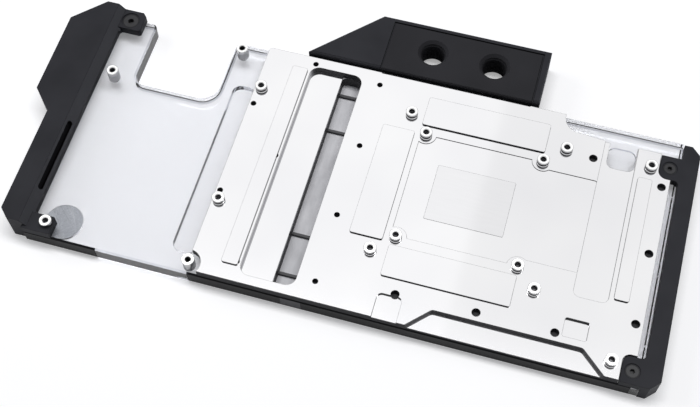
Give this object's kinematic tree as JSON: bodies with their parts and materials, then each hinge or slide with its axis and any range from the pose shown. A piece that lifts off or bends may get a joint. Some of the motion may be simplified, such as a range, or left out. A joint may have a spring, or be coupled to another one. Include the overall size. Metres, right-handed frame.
{
  "type": "gpu water block",
  "caption": "Full-cover water block for a graphics card: nickel-plated cold plate on a clear acrylic body, with a side terminal and two threaded coolant ports.",
  "frame": {"origin": "centre of the face that touches the graphics processor, in the middle of the two hole squares", "axes": "+X along the block towards the short bracket end, +Y across it towards the terminal with the ports, +Z towards the graphics card"},
  "size_m": [0.2982, 0.1494, 0.0152],
  "materials": {
    "nickel_plate": "bright nickel plating on milled copper",
    "clear_acrylic": "clear polished acrylic",
    "jet_steel": "rolled stainless steel sheet",
    "seal_rubber": "matt black rubber",
    "black_acetal": "fine machined acetal",
    "black_anodised": "black anodised, bead blasted",
    "black_screw": "black oxide",
    "screw_steel": "plain steel",
    "post_nickel": "nickel plated, turned",
    "light_board": "dark diffuser",
    "badge_metal": "brushed, blank"
  },
  "bodies": {
    "root": {"cold_plate": "nickel_plate", "acrylic_top": "clear_acrylic", "jet_plate": "jet_steel", "main_seal": "seal_rubber", "port_seals": "seal_rubber", "terminal_body": "black_acetal", "terminal_cover": "black_anodised", "terminal_screws": "screw_steel", "left_cover": "black_anodised", "left_cover_screw": "black_screw", "light_strip": "light_board", "right_frame": "black_anodised", "right_frame_screws": "black_screw", "short_standoffs": "post_nickel", "tall_standoffs": "post_nickel", "ear_standoff": "post_nickel", "small_clamp_screws": "screw_steel", "large_clamp_screws": "screw_steel", "badge_disc": "badge_metal"}
  },
  "joints": []
}
